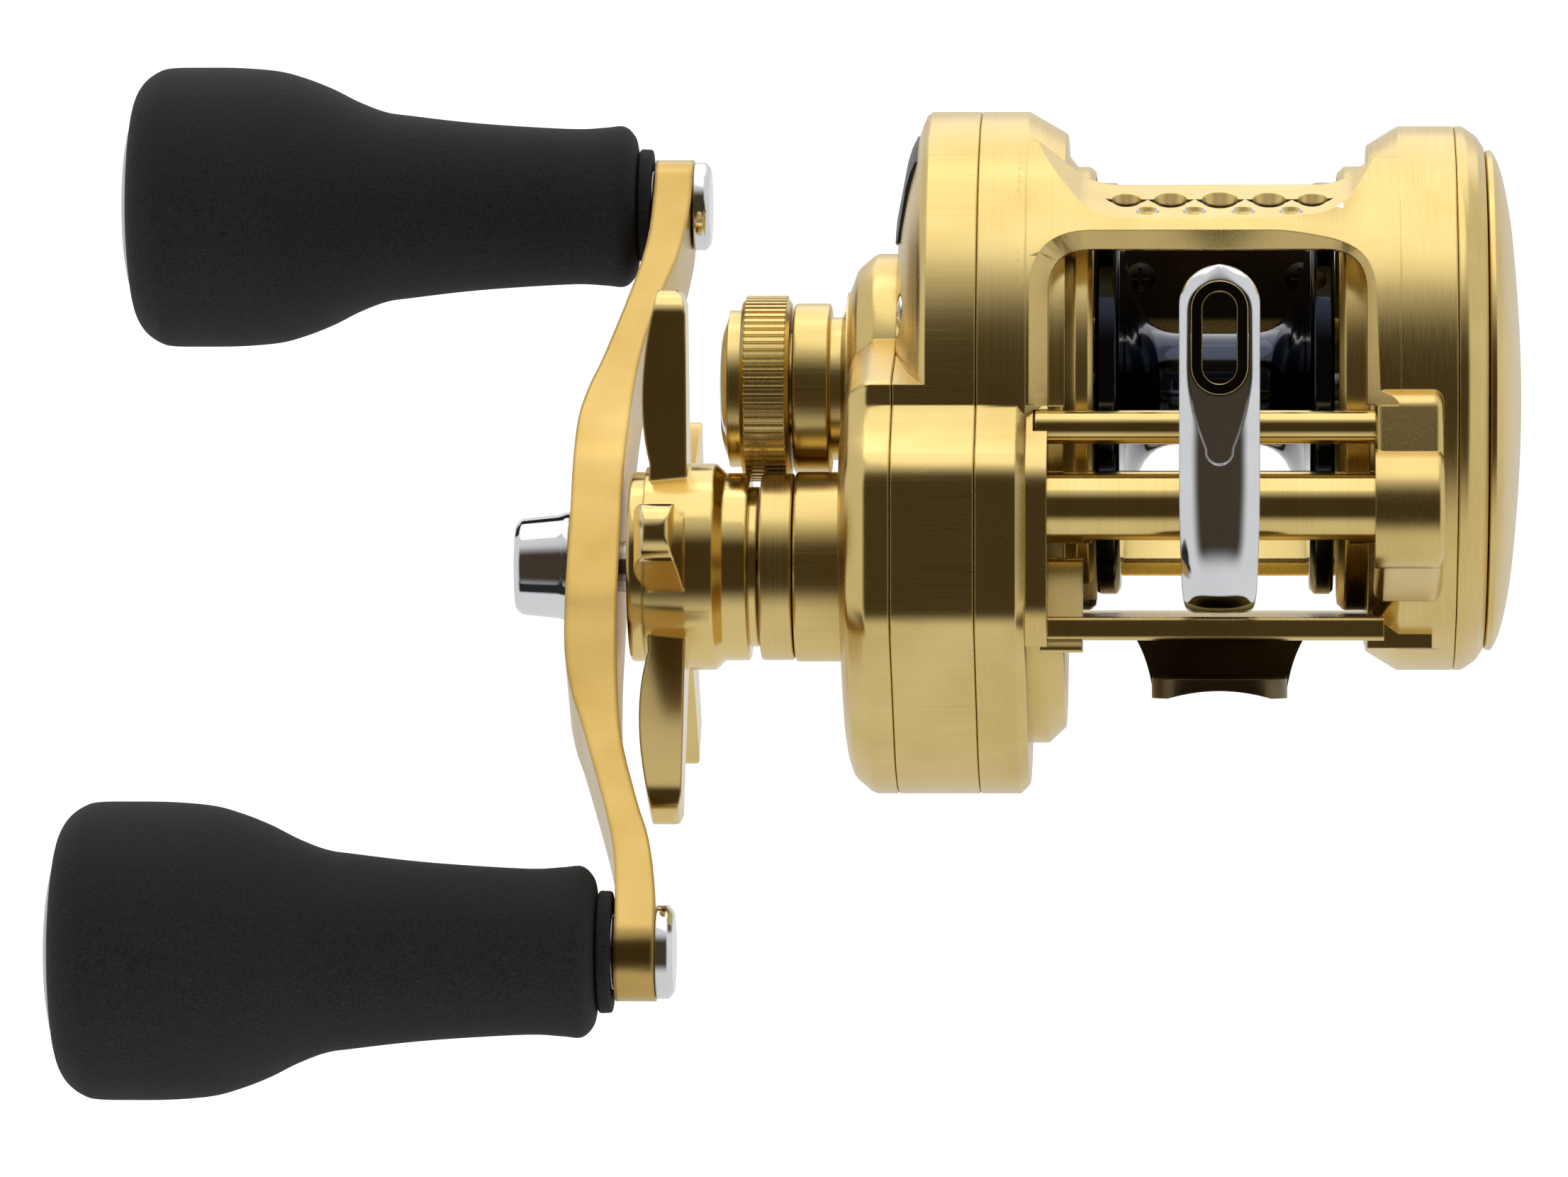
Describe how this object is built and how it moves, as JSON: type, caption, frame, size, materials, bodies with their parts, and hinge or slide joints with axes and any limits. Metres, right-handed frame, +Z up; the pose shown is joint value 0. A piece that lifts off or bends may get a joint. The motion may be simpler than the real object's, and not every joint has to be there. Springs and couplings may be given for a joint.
{
  "type": "baitcasting reel",
  "caption": "Round baitcasting fishing reel with a gold metal frame, a level-wind line guide, a star drag and a double handle with foam knobs.",
  "frame": {"origin": "centre of the foot's underside, on the plane of its two flat lips, where the rod seat touches it", "axes": "+X along the spool axis towards the palm side, +Y towards the angler, -Y towards the line guide, +Z up from the rod"},
  "size_m": [0.1438, 0.0906, 0.1032],
  "materials": {
    "gold": "turned and bead-blasted aluminium, clear gold anodised",
    "bronze": "dark bronze plating",
    "chrome": "polished chrome plate",
    "steel": "ground stainless steel",
    "gear_brass": "machined brass",
    "dark_plastic": "moulded engineering plastic",
    "spool_blue": "dark blue-black anodised, glossy",
    "carbon": "woven carbon fibre washer",
    "grip_foam": "fine-celled foam rubber, matt"
  },
  "bodies": {
    "frame": {"frame": "gold", "reel_foot": "bronze", "foot_screw_front": "steel", "foot_screw_rear": "steel", "handle_side_plate": "gold", "gear_cover": "gold", "side_plate_insert": "dark_plastic", "insert_screw": "chrome", "plate_screw_1": "steel", "plate_screw_2": "steel", "palm_side_plate": "gold", "palm_cap": "gold", "brake_magnet_ring": "steel", "level_wind_tube": "gold", "guide_rod": "gold", "idler_stud": "steel", "drive_bearing": "steel", "pinion_bearing": "steel", "spool_bearing_handle": "steel", "spool_bearing_palm": "steel", "roller_clutch": "steel", "boss_cap": "gold", "yoke_post_front": "steel", "yoke_post_rear": "steel", "yoke_spring_front": "steel", "yoke_spring_rear": "steel"},
    "spool": {"spool": "spool_blue", "spool_shaft": "steel", "spool_pin": "steel"},
    "pinion": {"pinion": "gear_brass"},
    "yoke": {"yoke": "dark_plastic"},
    "clutch_cam": {"clutch_cam": "dark_plastic"},
    "thumb_bar": {"thumb_bar": "bronze", "thumb_screw_left": "steel", "thumb_screw_right": "steel"},
    "cast_control": {"cast_control_cap": "gold"},
    "handle": {"drive_shaft": "steel", "main_gear": "gear_brass", "drag_washer_inner": "carbon", "drag_plate": "steel", "pressure_plate": "steel", "clutch_tube": "steel", "wind_drive_gear": "dark_plastic", "handle_arm": "gold", "handle_nut": "chrome", "knob_spindle_upper": "steel", "knob_spindle_lower": "steel", "spindle_cap_upper": "chrome", "spindle_cap_lower": "chrome"},
    "drag_star": {"drag_star": "gold"},
    "knob_upper": {"knob_grip_upper": "grip_foam", "knob_cap_upper": "gold"},
    "knob_lower": {"knob_grip_lower": "grip_foam", "knob_cap_lower": "gold"},
    "idler": {"idler_gear": "dark_plastic"},
    "worm": {"worm_shaft": "steel", "worm_gear": "dark_plastic"},
    "line_guide": {"line_guide": "chrome", "guide_insert": "bronze"},
    "pawl": {"level_wind_pawl": "steel"}
  },
  "joints": [
    {"name": "handle_spin", "type": "hinge", "parent": "frame", "child": "handle", "pos_m": [0, -0.006, 0.0126], "axis": [1, 0, 0], "continuous": true},
    {"name": "spool_spin", "type": "hinge", "parent": "frame", "child": "spool", "pos_m": [0, 0, 0.0305], "axis": [1, 0, 0], "continuous": true},
    {"name": "thumb_bar_press", "type": "slide", "parent": "frame", "child": "thumb_bar", "axis": [0, 0, -1], "range_m": [0, 0.004], "stiffness_N_per_m": 150, "springref_m": -0.002, "deforming": ["yoke_spring_front", "yoke_spring_rear"]},
    {"name": "yoke_slide", "type": "slide", "parent": "frame", "child": "yoke", "axis": [-1, 0, 0], "range_m": [0, 0.0016]},
    {"name": "clutch_cam_turn", "type": "hinge", "parent": "frame", "child": "clutch_cam", "pos_m": [0, 0, 0.0305], "axis": [-1, 0, 0], "range_deg": [0, 10.9]},
    {"name": "pinion_spin", "type": "hinge", "parent": "yoke", "child": "pinion", "pos_m": [0, 0, 0.0305], "axis": [1, 0, 0], "continuous": true},
    {"name": "idler_spin", "type": "hinge", "parent": "frame", "child": "idler", "pos_m": [0, -0.01931, 0.01488], "axis": [1, 0, 0], "continuous": true},
    {"name": "worm_spin", "type": "hinge", "parent": "frame", "child": "worm", "pos_m": [0, -0.0275, 0.0186], "axis": [1, 0, 0], "continuous": true},
    {"name": "line_guide_slide", "type": "slide", "parent": "frame", "child": "line_guide", "axis": [1, 0, 0], "range_m": [-0.0075, 0.0075]},
    {"name": "level_wind_pawl_swing", "type": "hinge", "parent": "line_guide", "child": "pawl", "pos_m": [0, -0.0275, 0.012], "axis": [0, 0, 1], "range_deg": [-30, 30]},
    {"name": "cast_control_turn", "type": "hinge", "parent": "frame", "child": "cast_control", "pos_m": [0, 0, 0.0305], "axis": [1, 0, 0], "range_deg": [-180, 180]},
    {"name": "drag_star_turn", "type": "hinge", "parent": "handle", "child": "drag_star", "pos_m": [0, -0.006, 0.0126], "axis": [1, 0, 0], "range_deg": [-180, 180]},
    {"name": "knob_upper_spin", "type": "hinge", "parent": "handle", "child": "knob_upper", "pos_m": [0, 0.02479, 0.04969], "axis": [1, 0, 0], "continuous": true},
    {"name": "knob_lower_spin", "type": "hinge", "parent": "handle", "child": "knob_lower", "pos_m": [0, -0.03679, -0.02449], "axis": [1, 0, 0], "continuous": true}
  ],
  "couplings": [
    {"joint": "spool_spin", "follows": "handle_spin", "ratio": -5.1818},
    {"joint": "pinion_spin", "follows": "handle_spin", "ratio": -5.1818},
    {"joint": "idler_spin", "follows": "handle_spin", "ratio": -2},
    {"joint": "worm_spin", "follows": "handle_spin", "ratio": 2},
    {"joint": "yoke_slide", "follows": "thumb_bar_press", "ratio": 0.4},
    {"joint": "clutch_cam_turn", "follows": "thumb_bar_press", "rad_per_m": 47.124}
  ]
}
